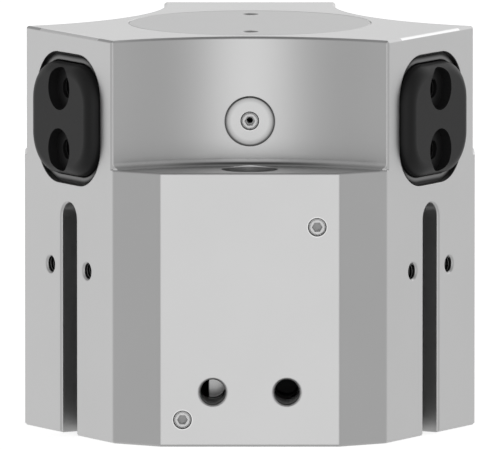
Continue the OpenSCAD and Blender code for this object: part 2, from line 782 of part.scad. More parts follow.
// Stepped rod: thin through the piston, full size through the gland, thin again in the wedge
module piston_rod() {
    rod_end_z = wedge_z + rod_end_len;
    color("lightsteelblue") difference() {
        union() {
            translate([0, 0, nut_z]) cylinder(d = spigot_d, h = piston_top_z - nut_z);
            translate([0, 0, piston_top_z]) cylinder(d = rod_d, h = wedge_z - piston_top_z);
            translate([0, 0, wedge_z]) cylinder(d = rod_end_d, h = rod_end_len);
        }
        translate([0, 0, wedge_head_z - wedge_screw_len - over])
            cylinder(d = wedge_screw_d, h = rod_end_z - wedge_head_z + wedge_screw_len + 2 * over);
    }
}

module piston_nut() {
    color("gray") translate([0, 0, nut_z]) difference() {
        cylinder(r = nut_af / sqrt(3), h = nut_h, $fn = 6);
        translate([0, 0, -over]) cylinder(d = spigot_d, h = nut_h + 2 * over);
    }
}

// ---- Wedge hook and jaws ----

// Frame of a slanting face: +X points square out of the face, and +Z runs up along it
module on_slant() {
    translate([wedge_top_reach, 0, wedge_top_z]) rotate([0, -slant, 0]) children();
}

// Outline of a T-shaped hook across the slant, grown by a clearance
module hook_outline(grow) {
    translate([-neck_len, -neck_w / 2 - grow]) square([2 * neck_len, neck_w + 2 * grow]);
    translate([neck_len - grow, -head_w / 2 - grow])
        square([head_t + 2 * grow, head_w + 2 * grow]);
}

module hook_bar(grow) {
    on_slant() translate([0, 0, -housing_h / 2]) linear_extrude(housing_h) hook_outline(grow);
}

// Three-sided wedge with a hook on each slanting face; the hooks end above the guides' floors
module wedge_hook() {
    color("slategray") difference() {
        union() {
            intersection() {
                translate([0, 0, wedge_z]) cylinder(r = core_r, h = wedge_h);
                inside_slants();
            }
            intersection() {
                translate([0, 0, hook_z]) cylinder(r = opening_d / 2, h = wedge_top_z - hook_z);
                union() {
                    for (a = arm_angles) rotate([0, 0, a]) hook_bar(0);
                }
            }
        }
        translate([0, 0, wedge_z - over]) cylinder(d = rod_end_d, h = rod_end_len + 2 * over);
        translate([0, 0, wedge_z]) cylinder(d = wedge_screw_d, h = wedge_h);
        translate([0, 0, wedge_head_z])
            cylinder(r = wedge_screw_head_d / 2 + wedge_screw_gap, h = wedge_h);
    }
}

// Space inside the three slanting faces
module inside_slants() {
    intersection_for (a = arm_angles) rotate([0, 0, a]) on_slant()
        translate([-housing_h, -housing_h / 2, -housing_h / 2])
            cube([housing_h, housing_h, housing_h]);
}

module wedge_screw() {
    color("dimgray") difference() {
        union() {
            translate([0, 0, wedge_head_z]) cylinder(d = wedge_screw_head_d, h = wedge_screw_head_h);
            translate([0, 0, wedge_head_z - wedge_screw_len])
                cylinder(d = wedge_screw_d, h = wedge_screw_len);
        }
        translate([0, 0, wedge_head_z + wedge_screw_head_h / 2])
            cylinder(r = wedge_screw_af / sqrt(3), h = wedge_screw_head_h, $fn = 6);
    }
}

// Bar with two rounded front edges, as deep as depth and as long as len
module front_bar(w, len, depth) {
    r = jaw_edge_r;
    rotate([90, 0, 0]) linear_extrude(len, center = true) {
        translate([-w / 2, 0]) square([w, depth - r]);
        translate([r - w / 2, 0]) square([w - 2 * r, depth]);
        for (s = [-1, 1]) translate([s * (w / 2 - r), depth - r]) circle(r);
    }
}

module front_corner(depth) {
    r = jaw_edge_r;
    rotate_extrude() {
        square([jaw_corner_r - r, depth]);
        square([jaw_corner_r, depth - r]);
        translate([jaw_corner_r - r, depth - r]) circle(r);
    }
}

// Solid jaw blank with every front edge rounded, along +X
module jaw_blank() {
    straight_w = jaw_w - 2 * jaw_corner_r;
    straight_h = jaw_h - 2 * jaw_corner_r;
    translate([0, 0, jaw_z]) rotate([90, 0, 90]) {
        front_bar(jaw_w, straight_h, jaw_reach);
        rotate([0, 0, 90]) front_bar(jaw_h, straight_w, jaw_reach);
        for (sx = [-1, 1], sy = [-1, 1])
            translate([sx * straight_w / 2, sy * straight_h / 2, 0]) front_corner(jaw_reach);
    }
}

// The jaw's own third of the space round the axis, less the gap to its neighbours
module jaw_sector() {
    reach = 2 * arm_reach;
    translate([jaw_gap / 2 / sin(60), 0, 0]) linear_extrude(housing_h)
        polygon([[0, 0], [reach * cos(60), -reach * sin(60)], [2 * reach, -reach * sin(60)],
            [2 * reach, reach * sin(60)], [reach * cos(60), reach * sin(60)]]);
}

module jaw(a) {
    color("dimgray") rotate([0, 0, a]) difference() {
        intersection() {
            jaw_blank();
            jaw_sector();
        }
        on_slant() translate([-housing_h, -housing_h / 2, -housing_h / 2])
            cube([housing_h + face_gap, housing_h, housing_h]);
        hook_bar(hook_clearance);
        for (s = [-1, 1]) translate([0, 0, jaw_z + s * finger_pitch / 2]) {
            bore_end = jaw_reach - finger_bore_depth;
            pin_x(bore_end, jaw_reach + over, finger_bore_d / 2);
            pin_x(bore_end - finger_thread_depth, bore_end + over, finger_thread_d / 2);
        }
    }
}

housing();
top_cover();
cover_seal_ring();
base_cap();
base_cap_seal_ring();
base_spring_ring();
rod_bush();
rod_seal();
upper_bumper();
lower_bumper();
jaw_seal(arm_angles[0]);  // jaw_seal_1
jaw_seal(arm_angles[1]);  // jaw_seal_2
jaw_seal(arm_angles[2]);  // jaw_seal_3
seal_frame(arm_angles[0]);  // seal_frame_1
seal_frame(arm_angles[1]);  // seal_frame_2
seal_frame(arm_angles[2]);  // seal_frame_3
duct_plug_screws();
base_duct_plugs();
wall_nozzle_screws();
piston_lower_half();
piston_upper_half();
piston_seals();
magnet_ring();
wear_ring();
piston_rod();
piston_nut();
wedge_hook();
wedge_screw();
jaw(arm_angles[0]);  // jaw_1
jaw(arm_angles[1]);  // jaw_2
jaw(arm_angles[2]);  // jaw_3
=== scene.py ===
import json
import math

import bpy
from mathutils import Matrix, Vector


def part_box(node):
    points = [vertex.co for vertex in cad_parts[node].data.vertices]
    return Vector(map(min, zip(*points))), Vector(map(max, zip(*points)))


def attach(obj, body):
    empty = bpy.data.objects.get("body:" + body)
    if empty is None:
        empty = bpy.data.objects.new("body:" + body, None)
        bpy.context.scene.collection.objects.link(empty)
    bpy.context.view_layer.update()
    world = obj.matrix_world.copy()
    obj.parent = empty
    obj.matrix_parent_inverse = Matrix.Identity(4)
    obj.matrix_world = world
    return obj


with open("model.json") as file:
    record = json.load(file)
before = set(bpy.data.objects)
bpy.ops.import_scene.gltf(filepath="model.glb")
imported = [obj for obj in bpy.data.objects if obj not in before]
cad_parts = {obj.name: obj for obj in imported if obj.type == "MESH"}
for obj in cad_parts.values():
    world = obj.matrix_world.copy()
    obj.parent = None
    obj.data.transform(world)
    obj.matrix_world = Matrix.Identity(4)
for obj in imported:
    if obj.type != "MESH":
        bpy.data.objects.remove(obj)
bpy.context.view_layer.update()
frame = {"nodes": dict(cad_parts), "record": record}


# ---- Camera and studio ----
# A long lens looks a little down at the port side, from well back. The room is a white cove:
# a pale floor, and soft light that is strongest behind the camera, weaker at both sides of it,
# and even behind the gripper.

camera_distance = 3.1409
camera_height_angle = math.radians(6.414)
aim = Vector((0.00003, 0, 0.0323))
camera = bpy.data.objects.new("camera", bpy.data.cameras.new("camera"))
bpy.context.scene.collection.objects.link(camera)
camera.location = (aim.x, -camera_distance * math.cos(camera_height_angle),
                   aim.z + camera_distance * math.sin(camera_height_angle))
camera.rotation_euler = (math.pi / 2 - camera_height_angle, 0, 0)
camera.data.sensor_width = 36
camera.data.lens = 1384.5
camera.data.clip_start = 0.05
camera.data.clip_end = 60
bpy.context.scene.camera = camera
bpy.context.scene.view_settings.view_transform = "Standard"


def add(tree, kind, settings=None, **inputs):
    """A node of that kind. Its inputs go by name, or by number as i0, i1 and so on."""
    made = tree.nodes.new(kind)
    for key, value in (settings or {}).items():
        setattr(made, key, value)
    for key, value in inputs.items():
        numbered = key[1:].isdigit()
        socket = made.inputs[int(key[1:])] if numbered else made.inputs[key.replace("_", " ")]
        if isinstance(value, bpy.types.NodeSocket):
            tree.links.new(value, socket)
        else:
            socket.default_value = value
    return made


def new_group(name, inputs, outputs):
    """A shader node group with named inputs and outputs; a vector is marked by a default of None."""
    group = bpy.data.node_groups.new(name, "ShaderNodeTree")
    for label, default in inputs.items():
        kind = "NodeSocketVector" if default is None else "NodeSocketFloat"
        made = group.interface.new_socket(label, in_out="INPUT", socket_type=kind)
        if default is not None:
            made.default_value = default
    for label in outputs:
        group.interface.new_socket(label, in_out="OUTPUT", socket_type="NodeSocketFloat")
    return group, group.nodes.new("NodeGroupInput").outputs, group.nodes.new("NodeGroupOutput").inputs


def sum_of(tree, operation, a, b=0.0, c=0.0):
    """The result of one sum on numbers or outputs."""
    return add(tree, "ShaderNodeMath", {"operation": operation}, i0=a, i1=b, i2=c).outputs[0]


def product(tree, *values):
    """All the values multiplied."""
    result = values[0]
    for value in values[1:]:
        result = sum_of(tree, "MULTIPLY", result, value)
    return result


def along(tree, vector, way):
    """How far a vector reaches along a way."""
    reached = add(tree, "ShaderNodeVectorMath", {"operation": "DOT_PRODUCT"}, i0=vector, i1=way)
    return reached.outputs["Value"]


def ramp(tree, value, start, full, base=0.0, peak=1.0, curve="LINEAR"):
    """Goes from base to peak while the value goes from start to full, and stays there."""
    return add(tree, "ShaderNodeMapRange", {"interpolation_type": curve}, Value=value, From_Min=start,
               From_Max=full, To_Min=base, To_Max=peak).outputs[0]


studio_sky, given, gives = new_group("studio_sky", {"Direction": None}, ["Light"])
axes = add(studio_sky, "ShaderNodeSeparateXYZ", i0=given["Direction"]).outputs
level_squared = sum_of(studio_sky, "MULTIPLY_ADD", axes[1], axes[1], product(studio_sky, axes[0], axes[0]))
# straight up the level part is nothing, so a small one stands in for it
least_level = 0.001
level_part = sum_of(studio_sky, "MAXIMUM", sum_of(studio_sky, "POWER", level_squared, 0.5), least_level)
# the angle round the gripper is 0 at the camera's side and a half turn behind
toward_camera = sum_of(studio_sky, "DIVIDE", product(studio_sky, axes[1], -1), level_part)
half_turns = sum_of(studio_sky, "DIVIDE", sum_of(studio_sky, "ARCCOSINE", toward_camera), math.pi)
# the walls' light, by degrees from the camera's side; the curve node holds half of it
ring_levels = ((0, 1.19), (12, 1.05), (25, 0.70), (40, 0.56), (60, 0.60), (85, 0.68), (105, 0.80),
               (125, 0.88), (150, 0.88), (180, 1.0))
ring_light = add(studio_sky, "ShaderNodeFloatCurve", Value=half_turns)
ring_curve = ring_light.mapping.curves[0]
while len(ring_curve.points) < len(ring_levels):
    ring_curve.points.new(0.5, 0.5)
for point, (degrees, level) in zip(ring_curve.points, ring_levels):
    point.location = (degrees / 180, level / 2)
ring_light.mapping.update()
total = product(studio_sky, ring_light.outputs[0], 2, level_squared)
ceiling_light = 0.23
upward = sum_of(studio_sky, "MAXIMUM", axes[2], 0)
total = sum_of(studio_sky, "MULTIPLY_ADD", product(studio_sky, upward, axes[2]), ceiling_light, total)
ground_light = 0.57
downward = sum_of(studio_sky, "MINIMUM", axes[2], 0)
total = sum_of(studio_sky, "MULTIPLY_ADD", product(studio_sky, downward, axes[2]), ground_light, total)
# high behind, a soft lamp stands on the right and a grey screen on the left
panel_side = 0.527
panel_back = 0.689
panel_up = 0.497
panel_rim = 0.80
panel_core = 0.97
for side, gain in ((panel_side, 0.42), (-panel_side, -0.32)):
    center = Vector((side, panel_back, panel_up)).normalized()
    toward_panel = along(studio_sky, given["Direction"], center)
    spread = ramp(studio_sky, toward_panel, panel_rim, panel_core, peak=gain, curve="SMOOTHSTEP")
    total = sum_of(studio_sky, "ADD", total, spread)
# behind, the room is a little paler on the left
paleness = 0.09
behind_left = product(studio_sky, sum_of(studio_sky, "MINIMUM", toward_camera, 0), axes[0])
studio_sky.links.new(sum_of(studio_sky, "MULTIPLY_ADD", behind_left, paleness, total), gives["Light"])

# the camera itself sees plain white where it misses the gripper
world = bpy.data.worlds.new("studio_light")
world.use_nodes = True
bpy.context.scene.world = world
tree = world.node_tree
tree.nodes.clear()
direction = add(tree, "ShaderNodeTexCoord").outputs["Generated"]
light = add(tree, "ShaderNodeGroup", {"node_tree": studio_sky}, Direction=direction).outputs["Light"]
path = add(tree, "ShaderNodeLightPath").outputs
strength = add(tree, "ShaderNodeMix", {"data_type": "FLOAT"}, Factor=path["Is Camera Ray"], A=light, B=1.0)
glow = add(tree, "ShaderNodeBackground", Color=(1, 1, 1, 1), Strength=strength.outputs[0])
tree.links.new(glow.outputs[0], add(tree, "ShaderNodeOutputWorld").inputs["Surface"])

# the floor lies a hair below the base face, so that the two never share a plane
floor_half = 30.0
floor_z = -0.0001
floor_mesh = bpy.data.meshes.new("floor")
corners = [(x * floor_half, y * floor_half, floor_z) for x, y in ((-1, -1), (1, -1), (1, 1), (-1, 1))]
floor_mesh.from_pydata(corners, [], [(0, 1, 2, 3)])
floor = bpy.data.objects.new("floor", floor_mesh)
bpy.context.scene.collection.objects.link(floor)
floor_paint = bpy.data.materials.new("floor_paint")
floor_paint.use_nodes = True
tree = floor_paint.node_tree
tree.nodes.clear()
path = add(tree, "ShaderNodeLightPath").outputs
seen = sum_of(tree, "ADD", path["Is Camera Ray"], path["Is Transmission Ray"])
paint_level = 0.8
matt = add(tree, "ShaderNodeBsdfDiffuse", Color=(paint_level, paint_level, paint_level, 1))
# a lift that only the camera sees keeps the floor white and its shadow pale
lift_level = 0.72
lift = add(tree, "ShaderNodeEmission", Color=(1, 1, 1, 1), Strength=product(tree, seen, lift_level))
plain = add(tree, "ShaderNodeAddShader", i0=matt.outputs[0], i1=lift.outputs[0])
tree.links.new(plain.outputs[0], add(tree, "ShaderNodeOutputMaterial").inputs["Surface"])
# polished faces mirror the room below the table too
floor.visible_glossy = False
floor_mesh.materials.append(floor_paint)


# ---- Housing ----
# One block of wrought aluminium, milled from every side, blasted with fine beads and clear
# anodised. Painted shade darkens the corners of its bores and slots.


def grey(level):
    """A colour with no hue."""
    return (level, level, level)


def tinted(tree, color, tone):
    """A colour times a tone that changes over the surface."""
    base = add(tree, "ShaderNodeMix", {"data_type": "RGBA", "blend_type": "MULTIPLY"}, Factor=1.0)
    base.inputs[6].default_value = (*color, 1)
    tree.links.new(tone, base.inputs[7])
    return base.outputs[2]


def shifted(tree, color, mask, toward):
    """A colour that turns to another one where a mask is 1."""
    mixed = add(tree, "ShaderNodeMix", {"data_type": "RGBA"}, Factor=mask)
    tree.links.new(color, mixed.inputs[6])
    mixed.inputs[7].default_value = (*toward, 1)
    return mixed.outputs[2]


# Fine blasted grain: Tone drifts slowly about 1, Gloss and Height follow the single beads
blasted_grain, given, gives = new_group(
    "blasted_grain", {"Place": None, "Bead": 4000.0, "Drift": 60.0}, ["Tone", "Gloss", "Height"])
beads = add(blasted_grain, "ShaderNodeTexNoise", Vector=given["Place"], Scale=given["Bead"], Detail=3.0,
            Roughness=0.6)
cloud = add(blasted_grain, "ShaderNodeTexNoise", Vector=given["Place"], Scale=given["Drift"], Detail=4.0)
blasted_grain.links.new(sum_of(blasted_grain, "ADD", cloud.outputs[0], 0.5), gives["Tone"])
blasted_grain.links.new(sum_of(blasted_grain, "SUBTRACT", beads.outputs[0], 0.5), gives["Gloss"])
blasted_grain.links.new(beads.outputs[0], gives["Height"])

# Edge marks, for wear and for painted edge shade: Edge is 1 on a sharp outer edge and fades to 0 within the
# given width. It is broken up in patches, or goes round evenly where Even is 1
edge_wear_and_shade, given, gives = new_group(
    "edge_wear_and_shade", {"Place": None, "Width": 0.0003, "Patches": 700.0, "Even": 0.0}, ["Edge"])
rounded = add(edge_wear_and_shade, "ShaderNodeBevel", {"samples": 6}, Radius=given["Width"]).outputs[0]
true_normal = add(edge_wear_and_shade, "ShaderNodeNewGeometry").outputs["True Normal"]
bent = ramp(edge_wear_and_shade, along(edge_wear_and_shade, rounded, true_normal), 0.995, 0.86)
patches = add(edge_wear_and_shade, "ShaderNodeTexNoise", Vector=given["Place"], Scale=given["Patches"], Detail=4.0)
patch = ramp(edge_wear_and_shade, patches.outputs[0], 0.35, 0.65)
share = sum_of(edge_wear_and_shade, "MAXIMUM", patch, given["Even"])
edge_wear_and_shade.links.new(product(edge_wear_and_shade, bent, share), gives["Edge"])

# Painted corner shade: the output is 0 on open faces and rises to 1 in a corner, a slot or a hole, from the
# ambient occlusion there
painted_corner_shade, given, gives = new_group(
    "painted_corner_shade", {"Place": None, "Reach": 0.004, "Start": 0.74, "Full": 0.15}, ["Film"])
open_share = add(painted_corner_shade, "ShaderNodeAmbientOcclusion", {"samples": 12, "only_local": True},
                 Distance=given["Reach"]).outputs["AO"]
blotches = add(painted_corner_shade, "ShaderNodeTexNoise", Vector=given["Place"], Scale=500.0, Detail=3.0)
blotch = sum_of(painted_corner_shade, "SUBTRACT", blotches.outputs[0], 0.5)
blotch_depth = 0.06
uneven = sum_of(painted_corner_shade, "MULTIPLY_ADD", blotch, blotch_depth, open_share)
painted_corner_shade.links.new(ramp(painted_corner_shade, uneven, given["Start"], given["Full"]), gives["Film"])

# Tool marks: fine uneven lines a pitch apart, counted along one measure such as the radius
tool_marks, given, gives = new_group("tool_marks", {"Along": 0.0, "Pitch": 0.0001}, ["Line", "Height"])
lines = add(tool_marks, "ShaderNodeTexNoise", {"noise_dimensions": "1D"},
            W=sum_of(tool_marks, "DIVIDE", given["Along"], given["Pitch"]), Scale=1.0, Detail=2.0)
tool_marks.links.new(sum_of(tool_marks, "SUBTRACT", lines.outputs[0], 0.5), gives["Line"])
tool_marks.links.new(lines.outputs[0], gives["Height"])


def metal(name, color, roughness, metallic=1.0, bead=4000.0, bump=0.05, wear=0.3, even=0.0,
          wear_and_shade_color=grey(0.75), corner_shade_share=0.5, corner_shade_color=grey(0.02), reach=0.004, start=0.74, full=0.15,
          marks=None, pitch=0.0001, mark_bump=0.08, edge_radius=0.0):
    """A finish with fine grain, drifting tone, worn edges (on the stamped frame a painted edge shade),
    painted shade in its corners and, if named, tool marks.
    """
    tone_drift = 0.06
    gloss_drift = 0.08
    mark_tone = 0.1
    mark_gloss = 0.15
    corner_roughness = 0.25
    relief_depth = 0.00002
    material = bpy.data.materials.new(name)
    material.use_nodes = True
    tree = material.node_tree
    tree.nodes.clear()
    shader = add(tree, "ShaderNodeBsdfPrincipled", Metallic=metallic)
    tree.links.new(shader.outputs[0], add(tree, "ShaderNodeOutputMaterial").inputs["Surface"])
    place = add(tree, "ShaderNodeTexCoord").outputs["Object"]
    grain = add(tree, "ShaderNodeGroup", {"node_tree": blasted_grain}, Place=place, Bead=bead).outputs
    edge = add(tree, "ShaderNodeGroup", {"node_tree": edge_wear_and_shade}, Place=place, Even=even).outputs["Edge"]
    corner_shade_mask = add(tree, "ShaderNodeGroup", {"node_tree": painted_corner_shade}, Place=place, Reach=reach, Start=start,
              Full=full).outputs["Film"]
    tone = sum_of(tree, "MULTIPLY_ADD", sum_of(tree, "SUBTRACT", grain["Tone"], 1.0), tone_drift, 1.0)
    gloss = sum_of(tree, "MULTIPLY_ADD", grain["Gloss"], gloss_drift, roughness)
    relief = add(tree, "ShaderNodeBump", Strength=bump, Distance=relief_depth, Height=grain["Height"])
    if edge_radius:
        broken = add(tree, "ShaderNodeBevel", {"samples": 8}, Radius=edge_radius)
        tree.links.new(broken.outputs[0], relief.inputs["Normal"])
    if marks:
        axes = add(tree, "ShaderNodeSeparateXYZ", i0=place).outputs
        counted = axes[2]
        if marks == "turned":
            flat = add(tree, "ShaderNodeCombineXYZ", i0=axes[0], i1=axes[1]).outputs[0]
            counted = add(tree, "ShaderNodeVectorMath", {"operation": "LENGTH"}, i0=flat).outputs["Value"]
        cut = add(tree, "ShaderNodeGroup", {"node_tree": tool_marks}, Along=counted, Pitch=pitch).outputs
        tone = sum_of(tree, "MULTIPLY_ADD", cut["Line"], mark_tone, tone)
        gloss = sum_of(tree, "MULTIPLY_ADD", cut["Line"], mark_gloss, gloss)
        relief = add(tree, "ShaderNodeBump", Strength=mark_bump, Distance=relief_depth,
                     Height=cut["Height"], Normal=relief.outputs[0])
    # painted corner shade: the colour turns toward its shade colour in corners, slots and holes, which are
    # also made rougher
    corner_shaded = product(tree, corner_shade_mask, corner_shade_share)
    shade = tinted(tree, color, tone)
    shade = shifted(tree, shade, product(tree, edge, wear), wear_and_shade_color)
    shade = shifted(tree, shade, corner_shaded, corner_shade_color)
    tree.links.new(shade, shader.inputs["Base Color"])
    tree.links.new(sum_of(tree, "MULTIPLY_ADD", corner_shaded, corner_roughness, gloss), shader.inputs["Roughness"])
    tree.links.new(relief.outputs[0], shader.inputs["Normal"])
    return material


def dress(names, material):
    """Gives CAD nodes their finish."""
    for name in names:
        mesh = frame["nodes"][name].data
        mesh.materials.clear()
        mesh.materials.append(material)


def overlay(material, mask, color):
    """Turns a finish's colour to another one where a mask is 1."""
    tree = material.node_tree
    base_color = tree.nodes["Principled BSDF"].inputs["Base Color"]
    tree.links.new(shifted(tree, base_color.links[0].from_socket, mask, color), base_color)


# strong painted corner shade makes the housing's holes, slots and corners nearly black
anodised = metal("anodised_aluminium", grey(0.6), 0.3, corner_shade_share=0.95, start=0.71, full=0.42,
                 corner_shade_color=grey(0.012), wear=0.06, edge_radius=0.00025)
dress(["housing"], anodised)

# Painted shade darkens some of the housing's corners, and painted light brightens some edges and hollows.
# Both are masks, placed from the boxes of the pieces that sit there.


def ways_at(degrees):
    """The level ways outward and sideways at an angle round the gripper."""
    turn = math.radians(degrees)
    return (math.cos(turn), math.sin(turn), 0), (-math.sin(turn), math.cos(turn), 0)


def within(tree, value, low, high):
    """1 where the value lies between two others."""
    return product(tree, sum_of(tree, "GREATER_THAN", value, low), sum_of(tree, "LESS_THAN", value, high))


def length_of(tree, a, b):
    """The straight distance over two measures that are square to each other."""
    return sum_of(tree, "POWER", sum_of(tree, "MULTIPLY_ADD", a, a, product(tree, b, b)), 0.5)


def apart(tree, place, center, weights):
    """The distance from a centre, with each axis counted by its weight."""
    offset = add(tree, "ShaderNodeVectorMath", {"operation": "SUBTRACT"}, i0=place, i1=center).outputs[0]
    weighted = add(tree, "ShaderNodeVectorMath", {"operation": "MULTIPLY"}, i0=offset, i1=weights).outputs[0]
    return add(tree, "ShaderNodeVectorMath", {"operation": "LENGTH"}, i0=weighted).outputs["Value"]


def largest(tree, values):
    """The largest of the values."""
    result = values[0]
    for value in values[1:]:
        result = sum_of(tree, "MAXIMUM", result, value)
    return result


# a mask reaches a hair or a skin past the face that it ends on, so that it takes the face in
hair = 0.00002
skin = 0.0001
housing_low, housing_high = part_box("housing")
port_face = housing_low[1]
arm_face = housing_high[1]
housing_shade_and_light, given, gives = new_group("housing_shade_and_light", {"Place": None}, ["Dirt", "PaintedLight"])
height = add(housing_shade_and_light, "ShaderNodeSeparateXYZ", i0=given["Place"]).outputs[2]
painted_shades = []
painted_lights = []

# each concave wall: painted shade draws a dark line along the fillet at its foot, with a softer painted
# shade above it and a faint one higher up, and painted light brightens the fillet's lowest part like the
# ledge
nozzle_low, nozzle_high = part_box("wall_nozzle_screws")
spot_height = (nozzle_low[2] + nozzle_high[2]) / 2
spot_floor = -nozzle_low[1]
spot_depth = 0.0005
spot_radius = 0.00407
rim_start = 0.003
rim_full = 0.00395
ledge_height = spot_height - 0.0072
wall_radius = 0.039
wall_axis = spot_floor + spot_depth + wall_radius
fillet_reach = 0.0014
line_height = ledge_height + 0.0004
line_half = 0.0004
line_core = 0.0001
soft_shade_top = ledge_height + 0.0045
soft_shade_full = ledge_height + 0.002
shade_top = ledge_height + 0.0015
shade_full = ledge_height + 0.001
foot_light_top = ledge_height + 0.0003
foot_light_full = ledge_height + 0.0001
wall_end = 0.01414
nozzle_mouth_radius = 0.00162
nozzle_mouth_depth = 0.002
for wall_angle in (270, 30, 150):
    outward, sideways = ways_at(wall_angle)
    reach = along(housing_shade_and_light, given["Place"], outward)
    side = along(housing_shade_and_light, given["Place"], sideways)
    from_axis = length_of(housing_shade_and_light, sum_of(housing_shade_and_light, "SUBTRACT", reach, wall_axis), side)
    on_wall = product(housing_shade_and_light,
                      within(housing_shade_and_light, from_axis, wall_radius - fillet_reach, wall_radius + hair),
                      sum_of(housing_shade_and_light, "GREATER_THAN", height, ledge_height - skin))
    off_line = sum_of(housing_shade_and_light, "ABSOLUTE", sum_of(housing_shade_and_light, "SUBTRACT", height, line_height))
    line = ramp(housing_shade_and_light, off_line, line_half, line_core, peak=0.78, curve="SMOOTHSTEP")
    soft_shade = ramp(housing_shade_and_light, height, soft_shade_top, soft_shade_full, peak=0.1)
    shaded = product(housing_shade_and_light, ramp(housing_shade_and_light, height, shade_top, shade_full, peak=0.38),
                     sum_of(housing_shade_and_light, "GREATER_THAN", height, line_height))
    toward_ends = ramp(housing_shade_and_light, product(housing_shade_and_light, side, side), 0.0, wall_end ** 2, base=1.0,
                       peak=0.2)
    foot = largest(housing_shade_and_light, [line, soft_shade, shaded])
    painted_shades.append(product(housing_shade_and_light, foot, toward_ends, on_wall))
    foot_light = ramp(housing_shade_and_light, height, foot_light_top, foot_light_full, peak=0.8)
    painted_lights.append(product(housing_shade_and_light, foot_light, on_wall))
    # painted shade darkens the spotface along its rim, and painted light brightens the nozzle's hole in its
    # middle
    from_spot = length_of(housing_shade_and_light, sum_of(housing_shade_and_light, "SUBTRACT", height, spot_height), side)
    rim = ramp(housing_shade_and_light, from_spot, rim_start, rim_full, peak=0.45)
    painted_shades.append(product(housing_shade_and_light, rim, sum_of(housing_shade_and_light, "LESS_THAN", from_spot, spot_radius),
                         sum_of(housing_shade_and_light, "GREATER_THAN", reach, spot_floor - skin)))
    painted_lights.append(product(housing_shade_and_light, sum_of(housing_shade_and_light, "LESS_THAN", from_spot, nozzle_mouth_radius),
                         sum_of(housing_shade_and_light, "GREATER_THAN", reach, spot_floor - nozzle_mouth_depth)))

# each arm: painted shade darkens the sensor slot, and painted light brightens the rim of the wiper seal's
# pocket
slot_half = 0.00245
slot_floor = 0.022
slot_end = 0.0354
slot_deep = 0.033
pocket_half = 0.0095
pocket_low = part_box("seal_frame_1")[0][2] - 0.0006
pocket_light_depth = 0.0009
pocket_light_full = 0.0002
for arm_angle in (90, 210, 330):
    outward, sideways = ways_at(arm_angle)
    reach = along(housing_shade_and_light, given["Place"], outward)
    side = along(housing_shade_and_light, given["Place"], sideways)
    beside = sum_of(housing_shade_and_light, "ABSOLUTE", side)
    in_slot = product(housing_shade_and_light, sum_of(housing_shade_and_light, "LESS_THAN", beside, slot_half),
                      sum_of(housing_shade_and_light, "GREATER_THAN", reach, slot_floor))
    deep = ramp(housing_shade_and_light, height, slot_end, slot_deep, peak=0.38)
    painted_shades.append(product(housing_shade_and_light, in_slot, deep))
    in_pocket = product(housing_shade_and_light, sum_of(housing_shade_and_light, "LESS_THAN", beside, pocket_half),
                        sum_of(housing_shade_and_light, "GREATER_THAN", height, pocket_low),
                        sum_of(housing_shade_and_light, "LESS_THAN", reach, arm_face - hair))
    pocket_light = ramp(housing_shade_and_light, reach, arm_face - pocket_light_depth, arm_face - pocket_light_full)
    painted_lights.append(product(housing_shade_and_light, in_pocket, pocket_light))

# painted light brightens the holes of the two duct screws
plug_low, plug_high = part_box("duct_plug_screws")
plug_radius = 0.00138
plug_light_radius = 0.00165
plug_light_depth_weight = 0.5
for center_x, center_z in ((plug_high[0] - plug_radius, plug_high[2] - plug_radius),
                           (plug_low[0] + plug_radius, plug_low[2] + plug_radius)):
    center = (center_x, plug_low[1], center_z)
    from_plug = apart(housing_shade_and_light, given["Place"], center, (1, plug_light_depth_weight, 1))
    painted_lights.append(sum_of(housing_shade_and_light, "LESS_THAN", from_plug, plug_light_radius))

# painted light brightens the edge of the cover's seat
cover_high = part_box("top_cover")[1]
seat_radius = cover_high[0] + 0.0006
seat_low = cover_high[2] - 0.0008
seat_lip = cover_high[2] - 0.00003
from_middle = apart(housing_shade_and_light, given["Place"], (0, 0, 0), (1, 1, 0))
painted_lights.append(product(housing_shade_and_light, sum_of(housing_shade_and_light, "LESS_THAN", from_middle, seat_radius),
                     within(housing_shade_and_light, height, seat_low, seat_lip)))
housing_shade_and_light.links.new(largest(housing_shade_and_light, painted_shades), gives["Dirt"])
housing_shade_and_light.links.new(largest(housing_shade_and_light, painted_lights), gives["PaintedLight"])

tree = anodised.node_tree
place = add(tree, "ShaderNodeTexCoord").outputs["Object"]
marked = add(tree, "ShaderNodeGroup", {"node_tree": housing_shade_and_light}, Place=place).outputs
# paints shade into the marked corners, then light onto the marked edges and hollows
overlay(anodised, marked["Dirt"], grey(0.012))
overlay(anodised, marked["PaintedLight"], grey(0.95))

# painted light makes the floor of the left port bright, and the floor is given a smoother finish
mounts = {mount["name"]: mount for mount in frame["record"]["mounts"]}
left_port = mounts["left_air_port"]
port_chamfer = 0.00028
port_floor = port_face + port_chamfer + left_port["dims"]["length_mm"] / 1000
floor_center = (left_port["pos_m"][0], port_floor, left_port["pos_m"][2])
port_floor_light_radius = 0.00194
port_floor_light_rim = 0.00202
flatness = 12
from_floor = apart(tree, place, floor_center, (1, flatness, 1))
port_floor_light = ramp(tree, from_floor, port_floor_light_rim, port_floor_light_radius)
overlay(anodised, port_floor_light, grey(0.42))
roughness = tree.nodes["Principled BSDF"].inputs["Roughness"]
polished = add(tree, "ShaderNodeMix", {"data_type": "FLOAT"}, Factor=port_floor_light, A=roughness.links[0].from_socket,
               B=0.22)
tree.links.new(polished.outputs[0], roughness)


# ---- Tapped holes of the housing ----
# The two air ports carry an M5 thread, and the bracket holes beside the sensor slots an M3
# thread. A tap has cut them after anodising; their flanks get a dark colour and strong corner shade, both
# painted shade inside the holes.

